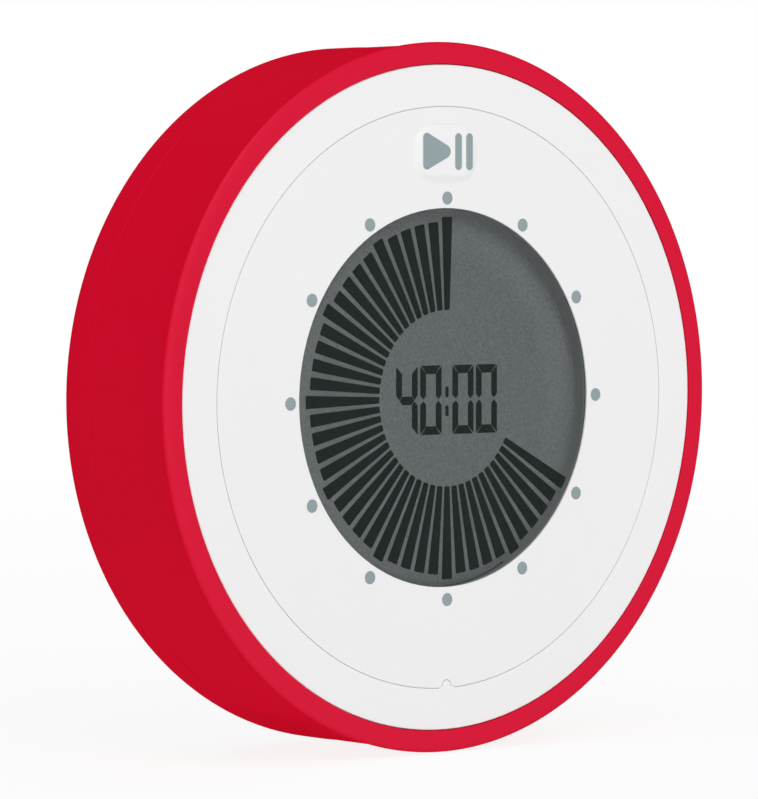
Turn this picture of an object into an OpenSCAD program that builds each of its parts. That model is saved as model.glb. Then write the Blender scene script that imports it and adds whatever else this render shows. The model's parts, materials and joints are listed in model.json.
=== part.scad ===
// Twist-ring visual countdown timer: a round case with a ring that turns to set the minutes.
// Drawn lying on its back (x right, y up the dial, z out of the face) and stood upright at the end:
// the dial then faces -Y with its top towards +Z, and the origin is the middle of the back.

/* [Overall] */
// Depth from the back plane to the face
case_depth = 25; // [24.6:0.1:28]
// Diameter over the front lip of the ring
ring_d = 82.5; // [80.5:0.25:88]

/* [Twist ring] */
// Width of the red border around the white face
bezel_w = 2.5; // [2.1:0.05:3]
// Thickness of that border at the front
bezel_t = 1.25; // [1:0.05:2]
// How far the sleeve's side wall lies inside the lip
wall_drop = 0.26; // [0.1:0.01:0.4]
// Depth of the rounding of the front lip
lip_round = 0.42; // [0.2:0.02:0.8]
// Width of that rounding across the border
lip_w = 1.5; // [0.6:0.05:1.8]
// Length of the hollow sweep behind the lip
lip_sweep = 5; // [3:0.25:8]
// Thickness of the soft grip sleeve
sleeve_t = 1.05; // [0.8:0.05:1.3]
// Wall of the rigid ring frame
frame_t = 1; // [0.8:0.05:1.5]
// Width of the rear band, up to the parting line
band_w = 5.71; // [5:0.01:8]
// Thickness of the rear band's inward flange
band_flange_t = 1.6; // [1.2:0.1:2]
// Rounding radius of the ring's rear edge
rear_round = 2.1; // [0.8:0.05:2.3]
// Chamfer at the parting line between sleeve and band
parting = 0.12; // [0.05:0.01:0.2]
// How far the band stands proud of the sleeve there
band_proud = 0.06; // [0:0.01:0.1]
// How far the fixed base stands out behind the ring
base_stand = 5.04; // [3.5:0.02:5.4]

/* [Ring drive] */
// Gear module
gear_module = 0.8; // [0.7:0.05:0.9]
// Teeth of the encoder pinion
pinion_teeth = 12; // [10:1:13]
// Rim of the ring gear outside its teeth
gear_rim = 1.1; // [0.8:0.05:1.3]
// Width of the ring gear
gear_w = 2.5; // [2:0.1:3]
// Place of the ring gear above the back plane, as a share of the depth
gear_share = 0.42; // [0.41:0.005:0.44]
// Radius of the encoder shaft
shaft_r = 1.5; // [1.2:0.1:1.8]
// Diameter of the encoder body
encoder_d = 9; // [8:0.25:9.5]

/* [Housing] */
// Wall of the rear housing
housing_t = 1.5; // [1.2:0.1:1.8]
// Thickness of the back plate
back_t = 1.5; // [1.3:0.1:1.8]
// Thickness of the journal flange the ring turns on
journal_t = 1.6; // [1.2:0.1:1.8]
// How far the rubber foot ring and the magnet stand proud of the back plate
foot_proud = 0.4; // [0.2:0.05:0.6]
// Width of the rubber foot ring
foot_w = 1.9; // [1.5:0.1:2.2]
// Depth of the foot ring's groove
foot_groove = 0.6; // [0.4:0.1:0.8]
// Diameter of the back magnet
magnet_d = 10; // [8:0.5:10]
// Thickness of the back magnet
magnet_t = 4; // [2:0.5:6]
// Distance of each case screw from the axis, as a share of the ring's diameter
screw_ring_share = 0.3544; // [0.35:0.001:0.359]
// Angle of the case screws above the horizontal
screw_angle = 50; // [49:0.5:52]
// Radius of the case screws' threads
screw_r = 1.1; // [0.9:0.05:1.2]
// Radius of the case screws' heads
screw_head_r = 2; // [1.8:0.05:2.1]

/* [Face] */
// Thickness of the front cover's plate
cover_t = 1.3; // [1.2:0.05:1.35]
// Wall of the front cover's skirt
skirt_t = 1.5; // [1:0.1:1.6]
// Rounding radius of the white face's edge
face_round = 0.15; // [0.1:0.05:0.6]
// Diameter of the face label, as a share of the ring's
label_share = 0.818; // [0.8:0.001:0.85]
// Thickness of the face label
label_t = 0.2; // [0.15:0.05:0.3]
// Width of the notch at the label's foot
notch_w = 2.5; // [1.8:0.1:3]
// Height of that notch
notch_h = 0.95; // [0.7:0.05:1.2]
// Diameter of the circle of dots, as a share of the ring's
dots_share = 0.5658; // [0.56:0.0001:0.58]
// Diameter of one dot
dot_d = 1.52; // [1:0.02:1.6]
// Number of dots
dot_count = 12; // [12:12:24]
// Thickness of the printing
print_t = 0.04; // [0.03:0.01:0.06]

/* [Start key] */
// Width of the start key, as a share of the ring's diameter
key_w_share = 0.1145; // [0.1135:0.0005:0.126]
// Height of the start key, as a share of its width
key_h_share = 0.695; // [0.68:0.0025:0.72]
// Corner radius of the start key
key_corner = 2.4; // [1.5:0.1:2.8]
// How far the start key stands up from the face
key_rise = 0.36; // [0.2:0.02:0.5]
// Distance of the start key above the middle of the dial, as a share of the ring's diameter
key_y_share = 0.343; // [0.341:0.0005:0.35]
// Travel of the start key
key_travel = 0.5; // [0.3:0.05:0.6]
// Height of the triangle and the bars printed on the key, as a share of the key's height
icon_share = 0.6515; // [0.55:0.005:0.67]

/* [Display] */
// Diameter of the window in the label, as a share of the ring's
window_share = 0.534; // [0.528:0.0001:0.54]
// Thickness of the window lens
lens_t = 0.3; // [0.25:0.05:0.4]
// Depth of the grey background below the face
reflector_depth = 2.3; // [2.2:0.05:2.8]
// Thickness of the background panel
reflector_t = 1.4; // [1:0.1:1.6]
// Inner end of the minute bars, as a share of the window's radius
bar_inner_share = 0.4662; // [0.43:0.0001:0.5]
// Outer end of the minute bars, as a share of the window's radius
bar_outer_share = 0.933; // [0.86:0.0005:0.9345]
// Extra length of every fifth bar
bar_extra = 0.55; // [0:0.05:0.7]
// Angle that one bar covers
bar_angle = 4.15; // [3:0.05:5]
// Minutes shown
minutes_shown = 40; // [1:1:59]
// Height of the digits, as a share of the window's diameter
digit_h_share = 0.1827; // [0.14:0.0001:0.19]
// Width of one digit, as a share of its height
digit_w_share = 0.3975; // [0.34:0.0025:0.41]
// Stroke of the digits
digit_stroke = 0.82; // [0.6:0.02:1]

/* [Power] */
// Length of one cell with its pip, as a share of the ring's diameter
cell_len_share = 0.54; // [0.52:0.001:0.545]
// Diameter of one cell, as a share of its length
cell_d_share = 0.236; // [0.23:0.001:0.24]
// Distance between the cells and the middle post that holds the magnet
cell_air = 0.35; // [0.25:0.05:0.5]
// Length of a contact spring as fitted
spring_len = 4.9; // [4.2:0.1:5]
// Wire diameter of the contact springs
spring_wire = 0.6; // [0.5:0.05:0.8]
// How far the battery door reaches past the bay at each end
door_over = 1.7; // [1.5:0.1:2]
// How far the battery door reaches past the bay above and below
door_rim = 1.55; // [1.3:0.05:1.7]
// Corner radius of the battery door
door_corner = 4; // [3.5:0.25:6]

/* [Electronics] */
// Place of the main board above the back plane, as a share of the depth
board_share = 0.664; // [0.66:0.002:0.68]
// Thickness of the main board
board_t = 1.2; // [1:0.1:1.6]
// Diameter of the buzzer
buzzer_d = 9; // [8:0.25:9.5]
// Height of the buzzer
buzzer_h = 4.5; // [3:0.1:5]
// Distance of the slide switches from the door's edge
switch_over = 4.9; // [4.6:0.1:5.2]
// Distance of each slide switch from the middle line
switch_x = 6.5; // [6:0.1:7]
// Travel of the slide switches to each side of the middle
switch_travel = 1.8; // [1.2:0.1:2]

/* [Hidden] */
$fn = 96;

// Clearances
ring_gap = 0.1;        // between the white face and the red border
border_proud = 0.14;   // how far the red border stands in front of the white face
running = 0.06;        // radial play of a shaft or journal
axial_play = 0.2;      // end play of the ring and of the pinion
fit_gap = 0.1;         // a piece dropped into its recess
key_gap = 0.12;        // round the start key
door_gap = 0.25;       // round the battery door
air = 0.3;             // between parts that must not touch
eps = 0.02;            // overshoot of a cut
gear_clear = 0.65;     // between the ring's teeth and the housing
band_clear = 0.6;      // between the rear band's flange and the housing

// In-plane layout, from the ring's diameter
screw_ring_r = ring_d * screw_ring_share;
label_d = ring_d * label_share;
dots_d = ring_d * dots_share;
window_d = ring_d * window_share;
key_w = ring_d * key_w_share;
key_h = key_w * key_h_share;
key_y = ring_d * key_y_share;
icon_h = key_h * icon_share;
bar_inner_r = window_d / 2 * bar_inner_share;
bar_outer_r = window_d / 2 * bar_outer_share;
digit_h = window_d * digit_h_share;
digit_w = digit_h * digit_w_share;
cell_len = ring_d * cell_len_share;
cell_d = cell_len * cell_d_share;

// Heights, from the depth
gear_z = case_depth * gear_share;
board_z = case_depth * board_share;

// Ring, from the lip inwards
lip_r = ring_d / 2;
side_r = lip_r - wall_drop;
band_r = side_r + band_proud;
frame_ro = side_r - sleeve_t;
bore_r = frame_ro - frame_t;
border_ri = lip_r - bezel_w;
cover_r = border_ri - ring_gap;
journal_r = bore_r - running;
border_z = case_depth + border_proud;         // front of the border
border_back_z = border_z - bezel_t;         // its back, where the ring frame ends
band_top = base_stand + band_flange_t;      // inner face of the rear band's flange
seam_z = base_stand + band_w;               // parting line between sleeve and band

// Gears
ring_teeth = floor(2 * (bore_r - gear_rim) / gear_module - 2.5);
ring_pitch_r = ring_teeth * gear_module / 2;
pinion_pitch_r = pinion_teeth * gear_module / 2;
ring_tip_r = ring_pitch_r - 0.85 * gear_module;
ring_root_r = ring_pitch_r + 1.25 * gear_module;
pinion_tip_r = pinion_pitch_r + gear_module;
pinion_root_r = pinion_pitch_r - 1.25 * gear_module;
encoder_y = -(ring_pitch_r - pinion_pitch_r);
gear_top = gear_z + gear_w;
pinion_w = gear_w - 2 * axial_play;
backlash = 0.12;
encoder_z = gear_top + 0.5;                 // rear end of the encoder body
pressure = 20;

// Housing
housing_r = ring_tip_r - gear_clear;
housing_ri = housing_r - housing_t;
plate_z = foot_proud;                       // outer face of the back plate
floor_z = plate_z + back_t;                 // its inner face
journal_z = gear_z - axial_play - journal_t;
post_r = screw_head_r + 0.9;
boss_r = screw_r + 1.5;
counterbore_r = screw_head_r + fit_gap;
board_r = housing_ri - 3 * air;
board_top = board_z + board_t;
housing_top = board_top + 1.5;
screw_head_z = board_z - 5.6;               // seat of the case screws' heads
screw_head_t = 1.5;
magnet_post_r = magnet_d / 2 + 1;
magnet_rim_z = plate_z - 0.1;               // the post's rim stands just proud of the plate
foot_ro = housing_r - 0.9;
foot_ri = foot_ro - foot_w;

// Face and display, from the face backwards
label_z = case_depth - label_t;
lens_z = label_z - lens_t;
segment_t = 0.08;
segment_z = lens_z - segment_t;
front_glass_t = 0.8;
rear_glass_t = 0.6;
glass_mid_z = segment_z - front_glass_t;
glass_z = glass_mid_z - rear_glass_t;
reflector_top = case_depth - reflector_depth;
reflector_z = reflector_top - reflector_t;
cover_z = case_depth - cover_t;             // inner face of the cover's plate
skirt_z = gear_top + axial_play;
window_r = window_d / 2;
wall_r = window_r + 0.03;                   // dark wall around the display
wall_ro = wall_r + 0.95;
hole_r = wall_ro + fit_gap;
lens_r = wall_ro;
glass_r = window_r - 0.02;
label_r = label_d / 2;
tab_w = 20;                                 // ledge of the display glass that takes the flex
tab_len = 3.1;
flex_t = 0.2;
flex_w = 18;
bend_y = -glass_r - tab_len - 0.9;          // where the flex turns down to its connector
flex_end_z = board_top + 0.7;
connector_h = 2;
connector_t = 2.6;
connector_end = 1.5;

print_shift = [0.07, -0.16];                // the printed dots sit a hair off the middle
pattern_shift = [0.5, -0.08];               // and so does the display's pattern
digit_drop = 0.17;                          // the digits sit a little below the bars' middle

// Start key
key_x = -0.27;                              // the key sits a hair left of the middle line
key_flange_t = 0.8;
key_flange_over = 0.9;
key_flange_z = cover_z - axial_play - key_flange_t;
stem_len = 0.5;
stem_r = 1.5;
plunger_r = 1.6;
plunger_top = key_flange_z - stem_len;
tact_h = plunger_top - board_top - key_travel - 0.8;
tact_w = 6;

// Battery bay
bay_l = cell_len + spring_len + 1.2;        // inner length, with contact plates and pips
bay_x = bay_l / 2;
cell_r = cell_d / 2;
cell_z = floor_z + air + cell_r;
bay_top = cell_z + cell_r + air;
bay_wall = 1;
ledge_t = 1;
bridge_h = 3;                               // height of the strap that joins the two far contacts
channel_half = cell_r + air;
cell_y = magnet_post_r + cell_air + cell_r;
bay_y = cell_y + channel_half;
door_w = 2 * (bay_x + door_over);
door_h = 2 * (bay_y + door_rim);
contact_t = 0.4;                            // contact sheet
pip_r = 1.9;
pip_h = 0.8;
dimple = 0.4;
contact_w = 8;
door_screw_x = bay_x - 2;
door_screw_r = 1;
door_head_r = 2.1;
door_boss_r = 2.2;
door_head_z = plate_z + back_t * 0.6;       // seat of its head
finger_r = 4;                               // finger notch of the door
tab_top = board_top + 0.4;                  // contact tabs end just above the board
contact_tab_w = 2;

// Board posts
side_post_x = board_r - 2.9;
low_post = [-ring_d * 0.165, -ring_d * 0.2961];
board_post_r = 1.9;
board_screw_r = 1;
board_screw_len = 5;
board_head_r = 1.8;
board_head_t = 1.2;

// Rear switch board
switch_y = door_h / 2 + switch_over;
knob_w = 2.6;
knob_h = 3.2;
pocket_h = knob_h + 0.8;
pocket_w = knob_w + 2 * switch_travel + 0.6;
pocket_depth = back_t - 0.5;
knob_stem_w = 1.4;
knob_stem_h = 1;
switch_z = floor_z + 0.4;
switch_body = [8.6, 3.6, 3.4];
switch_board_z = switch_z + switch_body[2];
switch_board_t = 1;
switch_board_w = ring_d * 0.3277;
switch_board_edge = sqrt(pow(housing_ri - 4 * air, 2) - pow(switch_board_w / 2, 2));
switch_board_foot = switch_y - knob_h;
stake_r = 0.7;
stake_x = switch_board_w / 2 - 1.9;
stake_y = switch_board_edge - 1.9;

lead_r = 0.45;
lead_pitch = 2;

// Small parts on the main board
chip_pos = [-ring_d * 0.073, ring_d * 0.085];
chip_r = 5.5;
chip_h = 1.2;
crystal_pos = [ring_d * 0.073, ring_d * 0.121];
crystal_r = 1;
crystal_len = 6;

// Buzzer and its sound holes
buzzer_pos = [ring_d * 0.1117, -ring_d * 0.2913];
sound_hole_r = 0.7;
sound_ring_r = buzzer_d * 0.29;

// A point at radius r and angle a
function polar(r, a) = [r * cos(a), r * sin(a)];

// The corners of a convex outline, each rounded to its radius with n steps
function rounded(pts, radii, n = 5) = [
    for (i = [0 : len(pts) - 1])
        let (p = pts[i],
            a = pts[(i + len(pts) - 1) % len(pts)] - p,
            b = pts[(i + 1) % len(pts)] - p,
            ua = a / norm(a),
            ub = b / norm(b),
            half = acos(ua * ub) / 2,
            mid = (ua + ub) / norm(ua + ub),
            c = p + mid * radii[i] / sin(half),
            start = atan2(-(mid * radii[i] / sin(half) - ua * radii[i] / tan(half))[1],
                -(mid * radii[i] / sin(half) - ua * radii[i] / tan(half))[0]),
            turn = 180 - 2 * half)
        for (k = [0 : n]) c + polar(radii[i], start + turn * k / n)];

// A rectangle w by h about the middle, with corners of radius r
module rounded_rect(w, h, r) {
    polygon(rounded([[-w, -h] / 2, [w, -h] / 2, [w, h] / 2, [-w, h] / 2], [r, r, r, r]));
}

module tube(ro, ri, z0, z1) {
    translate([0, 0, z0])
        difference() {
            cylinder(r = ro, h = z1 - z0);
            translate([0, 0, -eps])
                cylinder(r = ri, h = z1 - z0 + 2 * eps);
        }
}

module rod(r, z0, z1) {
    translate([0, 0, z0])
        cylinder(r = r, h = z1 - z0);
}

module block(x0, x1, y0, y1, z0, z1) {
    translate([x0, y0, z0])
        cube([x1 - x0, y1 - y0, z1 - z0]);
}

module case_screw_places() {
    for (sx = [-1, 1], sy = [-1, 1])
        translate([sx * screw_ring_r * cos(screw_angle), sy * screw_ring_r * sin(screw_angle), 0])
            children();
}

module board_screw_places() {
    for (p = [[-side_post_x, 0], [side_post_x, 0], low_post])
        translate([p[0], p[1], 0])
            children();
}

// Involute outline of a gear with teeth centred on angle 0
function inv(a) = tan(a) * 180 / PI - a;
function flank(teeth, r, widen) =
    let (pitch_r = teeth * gear_module / 2,
        base_r = pitch_r * cos(pressure),
        at = max(r, base_r))
    90 / teeth + widen / pitch_r * 90 / PI + inv(pressure) - inv(acos(base_r / at));
function gear_outline(teeth, root_r, tip_r, widen, steps = 3) = [
    for (i = [0 : teeth - 1], side = [-1, 1], k = [0 : steps])
        let (s = side < 0 ? k / steps : 1 - k / steps,
            r = root_r + (tip_r - root_r) * s)
        polar(r, i * 360 / teeth + side * flank(teeth, r, widen))];

// ---- Fixed case ----

module rear_housing() {
    slide_slot_w = knob_stem_w + 2 * switch_travel + 0.4;
    color("whitesmoke")
        difference() {
            union() {
                housing_shell();
                board_posts();
                case_screw_places() rod(post_r, plate_z + eps, board_z - 0.1);
                translate([0, encoder_y, 0]) rod(shaft_r + 1.2, floor_z - eps, gear_z - axial_play);
                for (s = [-1, 1])
                    translate([s * stake_x, stake_y, 0]) {
                        rod(2 * stake_r, floor_z - eps, switch_board_z);
                        rod(stake_r, floor_z, switch_board_z + switch_board_t + air);
                    }
            }
            // rubber foot ring
            tube(foot_ro, foot_ri, plate_z - 1, plate_z + foot_groove);
            // door opening
            translate([0, 0, plate_z - 1])
                linear_extrude(2 + back_t)
                    rounded_rect(door_w + 2 * door_gap, door_h + 2 * door_gap, door_corner + door_gap);
            // case screws
            case_screw_places() {
                rod(counterbore_r, plate_z - 1, screw_head_z);
                rod(screw_r + fit_gap, plate_z - 1, board_z);
            }
            // board screws
            board_screw_places() rod(board_screw_r, board_z - board_screw_len - 0.2, board_z + 1);
            // encoder shaft bearing, the window its pinion reaches through and the notch for its body
            translate([0, encoder_y, 0]) {
                rod(shaft_r + running, gear_z - 3.2, gear_z + 1);
                rod(pinion_tip_r + air, gear_z - axial_play, encoder_z);
                rod(encoder_d / 2 + fit_gap, encoder_z - fit_gap, housing_top + eps);
            }
            // slide switches
            for (s = [-1, 1])
                translate([s * switch_x, switch_y, 0]) {
                    block(-pocket_w / 2, pocket_w / 2, -pocket_h / 2, pocket_h / 2, plate_z - 1,
                        plate_z + pocket_depth);
                    block(-slide_slot_w / 2, slide_slot_w / 2, -knob_stem_h / 2 - 0.2, knob_stem_h / 2 + 0.2,
                        plate_z, floor_z + eps);
                }
            // sound holes
            translate([buzzer_pos[0], buzzer_pos[1], 0]) {
                rod(sound_hole_r, 0, floor_z + eps);
                for (a = [0 : 60 : 300])
                    rotate(a) translate([sound_ring_r, 0, 0]) rod(sound_hole_r, 0, floor_z + eps);
            }
        }
}

// Back plate with a rounded edge, side wall and journal flange
module housing_shell() {
    edge = 0.8;
    rotate_extrude()
        polygon(concat(
            [[0, plate_z]],
            [for (a = [-90 : 15 : 0]) [housing_r - edge, plate_z + edge] + polar(edge, a)],
            [[housing_r, journal_z], [journal_r, journal_z], [journal_r, journal_z + journal_t],
                [housing_r, journal_z + journal_t], [housing_r, housing_top], [housing_ri, housing_top],
                [housing_ri, floor_z], [0, floor_z]]));
}

// Tray welded behind the door's opening: two bays for the cells, the ledge the door rests on, the post that
// holds the magnet and the hollow spine between the bays
module battery_tray() {
    spine_y = cell_y - channel_half - bay_wall;
    color("gainsboro")
        difference() {
            union() {
                difference() {
                    union() {
                        block(-bay_x - bay_wall, bay_x + bay_wall, -bay_y - bay_wall, bay_y + bay_wall,
                            floor_z, bay_top + bay_wall);
                        tray_ledge();
                    }
                    block(-bay_x, bay_x, -spine_y, spine_y, floor_z + ledge_t, bay_top + 2 * bay_wall);
                }
                translate([door_screw_x, 0, 0]) rod(door_boss_r, floor_z, bay_top + bay_wall);
                block(-bay_x, bay_x, -bay_wall / 2, bay_wall / 2, floor_z, bay_top);
                rod(magnet_post_r, magnet_rim_z, bay_top);
            }
            rod(magnet_d / 2, -1, magnet_t);
            // cells and their contacts
            for (s = [-1, 1])
                block(-bay_x, bay_x, s * cell_y - channel_half, s * cell_y + channel_half, floor_z - 1,
                    bay_top);
            contact_slots();
            translate([door_screw_x, 0, 0]) rod(door_screw_r, floor_z - 1, bay_top - 3);
        }
}

// Flange between the bays and the back plate, clear of the side wall and the case screws' posts
module tray_ledge() {
    over = 1.2;
    intersection() {
        difference() {
            block(-door_w / 2 - over, door_w / 2 + over, -door_h / 2 - over, door_h / 2 + over, floor_z,
                floor_z + ledge_t);
            case_screw_places() rod(post_r + fit_gap, floor_z - 1, floor_z + 2 * ledge_t);
        }
        rod(housing_ri - fit_gap, floor_z - 1, floor_z + 2 * ledge_t);
    }
}

module board_posts() {
    board_screw_places() rod(board_post_r, floor_z - eps, board_z);
}

// Slots in the bays' roof for the two soldered contacts, and across the spine for the bridge
module contact_slots() {
    block(-bay_x, -bay_x + contact_t + fit_gap, -cell_y, cell_y, cell_z - bridge_h / 2 - fit_gap,
        cell_z + bridge_h / 2 + fit_gap);
    for (s = [-1, 1])
        block(bay_x - contact_t - fit_gap, bay_x, s * cell_y - contact_tab_w / 2 - fit_gap,
            s * cell_y + contact_tab_w / 2 + fit_gap, bay_top - 1, bay_top + 2);
}

module front_cover() {
    color("white")
        difference() {
            union() {
                rotate_extrude()
                    polygon(concat(
                        [[0, cover_z], [cover_r - skirt_t, cover_z], [cover_r - skirt_t, skirt_z],
                            [cover_r, skirt_z]],
                        [for (a = [0 : 15 : 90])
                            [cover_r - face_round, case_depth - face_round] + polar(face_round, a)],
                        [[0, case_depth]]));
                case_screw_places() rod(boss_r, board_z - 0.1, cover_z + eps);
            }
            // label recess, with the bump that fills the label's notch left standing
            translate([0, 0, label_z])
                linear_extrude(1)
                    difference() {
                        circle(r = label_r + fit_gap, $fn = 180);
                        notch_shape(-fit_gap);
                    }
            rod(hole_r, 0, case_depth + 1);
            translate([key_x, key_y, cover_z - 1])
                linear_extrude(3)
                    rounded_rect(key_w + 2 * key_gap, key_h + 2 * key_gap, key_corner + key_gap);
            case_screw_places() rod(screw_r, 0, cover_z - 1);
        }
}

// Bump at the label's foot, grown by e
module notch_shape(e) {
    cap = notch_w * 0.28;
    union() {
        translate([0, -label_r + notch_h - cap]) circle(r = cap + e, $fn = 36);
        polygon([[-notch_w / 2 - e, -label_r - 1], [notch_w / 2 + e, -label_r - 1],
            [notch_w / 2 + e, -label_r + 0.05], [cap + e, -label_r + notch_h - cap],
            [-cap - e, -label_r + notch_h - cap], [-notch_w / 2 - e, -label_r + 0.05]]);
    }
}

module face_label() {
    color("white")
        translate([0, 0, label_z])
            linear_extrude(label_t)
                difference() {
                    circle(r = label_r, $fn = 180);
                    circle(r = window_r, $fn = 180);
                    notch_shape(0);
                    translate([key_x, key_y])
                        rounded_rect(key_w + 2 * key_gap, key_h + 2 * key_gap, key_corner + key_gap);
                }
}

module dial_dots() {
    color([0.57, 0.63, 0.63])
        translate([print_shift[0], print_shift[1], 0])
            for (i = [0 : dot_count - 1])
                rotate(90 + i * 360 / dot_count)
                    translate([dots_d / 2, 0, 0])
                        rod(dot_d / 2, case_depth, case_depth + print_t);
}

// ---- Display ----

module window_lens() {
    color([0.8, 0.85, 0.85, 0.3]) rod(lens_r, lens_z, label_z);
}

module lcd_bezel() {
    color([0.25, 0.27, 0.27])
        difference() {
            tube(wall_ro, wall_r, reflector_top, lens_z);
            block(-tab_w / 2 - fit_gap, tab_w / 2 + fit_gap, -wall_ro - 1, 0, glass_z - fit_gap,
                glass_mid_z + fit_gap);
        }
}

// Two discs of glass; the rear one has a ledge at its foot for the flex
module lcd_glass() {
    color([0.75, 0.8, 0.8, 0.3])
        union() {
            rod(glass_r, glass_mid_z, segment_z);
            rod(glass_r, glass_z, glass_mid_z);
            block(-tab_w / 2, tab_w / 2, -glass_r - tab_len, -glass_r + 4, glass_z, glass_mid_z);
        }
}

module lcd_reflector() {
    color([0.39, 0.41, 0.41]) rod(wall_ro, reflector_z, reflector_top);
}

module lcd_frame() {
    color("gainsboro")
        difference() {
            union() {
                tube(wall_ro, wall_ro - 2, board_top, reflector_z);
                block(-wall_ro + 1, wall_ro - 1, -0.8, 0.8, reflector_z - 1, reflector_z);
                block(-0.8, 0.8, -wall_ro + 1, wall_ro - 1, reflector_z - 1, reflector_z);
            }
            for (a = [45 : 90 : 315])
                rotate(a) block(wall_ro - 4, wall_ro + 2, -3, 3, board_top - 1, board_top + 1);
        }
}

// One minute bar, pointing to angle a
module minute_bar(a, outer_r) {
    half = bar_angle / 2;
    corner = 0.13;
    polygon(rounded([polar(bar_inner_r, a - half), polar(outer_r, a - half), polar(outer_r, a + half),
        polar(bar_inner_r, a + half)], [corner, corner, corner, corner], 2));
}

// One seven-segment digit, centred; "lit" names its segments in the order a to g
module digit(lit) {
    w = digit_w / 2;
    h = digit_h / 2;
    t = digit_stroke;
    g = 0.09;                               // half of the gap between two segments
    side = [[-w, g * 2.4 + t * 0.45], [-w + t * 0.55, g * 1.4], [-w + t, t * 0.62],
        [-w + t, h - t - g * 1.4], [-w, h - g * 1.4]];
    cap = [[-w + g * 1.4, h], [-w + t + g * 1.4, h - t * 1.2], [w - t - g * 1.4, h - t * 1.2],
        [w - g * 1.4, h]];
    bar = [[-w + t * 0.62, 0], [-w + t + 0.1, t * 0.6], [w - t - 0.1, t * 0.6], [w - t * 0.62, 0],
        [w - t - 0.1, -t * 0.6], [-w + t + 0.1, -t * 0.6]];
    if (lit[0]) polygon(cap);
    if (lit[1]) mirror([1, 0]) polygon(side);
    if (lit[2]) mirror([1, 0]) mirror([0, 1]) polygon(side);
    if (lit[3]) mirror([0, 1]) polygon(cap);
    if (lit[4]) mirror([0, 1]) polygon(side);
    if (lit[5]) polygon(side);
    if (lit[6]) polygon(bar);
}

SEGMENTS = [[1, 1, 1, 1, 1, 1, 0], [0, 1, 1, 0, 0, 0, 0], [1, 1, 0, 1, 1, 0, 1], [1, 1, 1, 1, 0, 0, 1],
    [0, 1, 1, 0, 0, 1, 1], [1, 0, 1, 1, 0, 1, 1], [1, 0, 1, 1, 1, 1, 1], [1, 1, 1, 0, 0, 0, 0],
    [1, 1, 1, 1, 1, 1, 1], [1, 1, 1, 1, 0, 1, 1]];

// The bars run from the top, against the clock, over as many minutes as are left
module lcd_segments() {
    digit_pitch = digit_w + 0.44;
    colon_gap = 0.86;                       // from the colon's middle to the digits beside it
    shown = [floor(minutes_shown / 10), minutes_shown % 10, 0, 0];
    xs = [-colon_gap - digit_w / 2 - digit_pitch, -colon_gap - digit_w / 2, colon_gap + digit_w / 2,
        colon_gap + digit_w / 2 + digit_pitch];
    color([0.15, 0.17, 0.16])
        translate([pattern_shift[0], pattern_shift[1], segment_z])
            linear_extrude(segment_t) {
                for (k = [0 : minutes_shown])
                    minute_bar(90 + k * 6, bar_outer_r + (k % 5 == 0 ? bar_extra : 0));
                for (i = [0 : 3])
                    translate([xs[i], -digit_drop]) digit(SEGMENTS[shown[i]]);
                for (s = [-1, 1])
                    translate([0, s * 1.1 - 0.2 - digit_drop]) rounded_rect(0.42, 1.25, 0.18);
            }
}

module lcd_flex() {
    bond_y = -glass_r - tab_len * 0.45;     // where the flex is bonded under the glass's ledge
    under = glass_z - flex_t;
    color("orange")
        translate([-flex_w / 2, 0, 0])
            rotate([90, 0, 90])
                linear_extrude(flex_w)
                    polygon([[bond_y, under], [bond_y, glass_z], [bend_y, glass_z], [bend_y - flex_t, under],
                        [bend_y - flex_t, flex_end_z], [bend_y, flex_end_z], [bend_y, under]]);
}

module flex_connector() {
    y = bend_y;
    color("ivory")
        difference() {
            block(-flex_w / 2 - connector_end, flex_w / 2 + connector_end, y - connector_t * 0.6,
                y + connector_t * 0.4, board_top, board_top + connector_h);
            block(-flex_w / 2, flex_w / 2, y - flex_t, y, flex_end_z, board_top + 2 * connector_h);
        }
}

// ---- Electronics ----

module main_board() {
    color("seagreen")
        difference() {
            rod(board_r, board_z, board_top);
            case_screw_places() rod(boss_r + air, board_z - 1, board_top + 1);
            board_screw_places() rod(board_screw_r + fit_gap, board_z - 1, board_top + 1);
            for (s = [-1, 1])
                block(bay_x - contact_t - fit_gap, bay_x + fit_gap, s * cell_y - contact_tab_w / 2 - fit_gap,
                    s * cell_y + contact_tab_w / 2 + fit_gap, board_z - 1, board_top + 1);
        }
}

// A drop of potting over the bare chip
module controller_chip() {
    color([0.12, 0.12, 0.13])
        translate([chip_pos[0], chip_pos[1], board_top])
            rotate_extrude()
                polygon([[0, 0], [chip_r, 0], [0.93 * chip_r, 0.46 * chip_h], [0.73 * chip_r, 0.79 * chip_h],
                    [0.36 * chip_r, 0.96 * chip_h], [0, chip_h]]);
}

module crystal() {
    color("silver")
        translate([crystal_pos[0], crystal_pos[1], board_top + crystal_r])
            rotate([90, 0, 0])
                cylinder(r = crystal_r, h = crystal_len);
}

module start_switch() {
    color("dimgray")
        difference() {
            translate([key_x, key_y, 0])
                block(-tact_w / 2, tact_w / 2, -tact_w / 2, tact_w / 2, board_top, board_top + tact_h);
            translate([key_x, key_y, 0])
                rod(plunger_r + running, board_top + 0.5, board_top + tact_h + 1);
        }
}

module encoder_body() {
    color("darkslategray")
        translate([0, encoder_y, 0])
            difference() {
                rod(encoder_d / 2, encoder_z, board_z);
                rod(shaft_r + running, gear_top, board_z - 0.6);
            }
}

module buzzer() {
    color([0.1, 0.1, 0.1])
        translate([buzzer_pos[0], buzzer_pos[1], 0])
            difference() {
                rod(buzzer_d / 2, board_z - buzzer_h, board_z);
                rod(1.2, board_z - buzzer_h - 1, board_z - buzzer_h + 1.5);
            }
}

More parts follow.
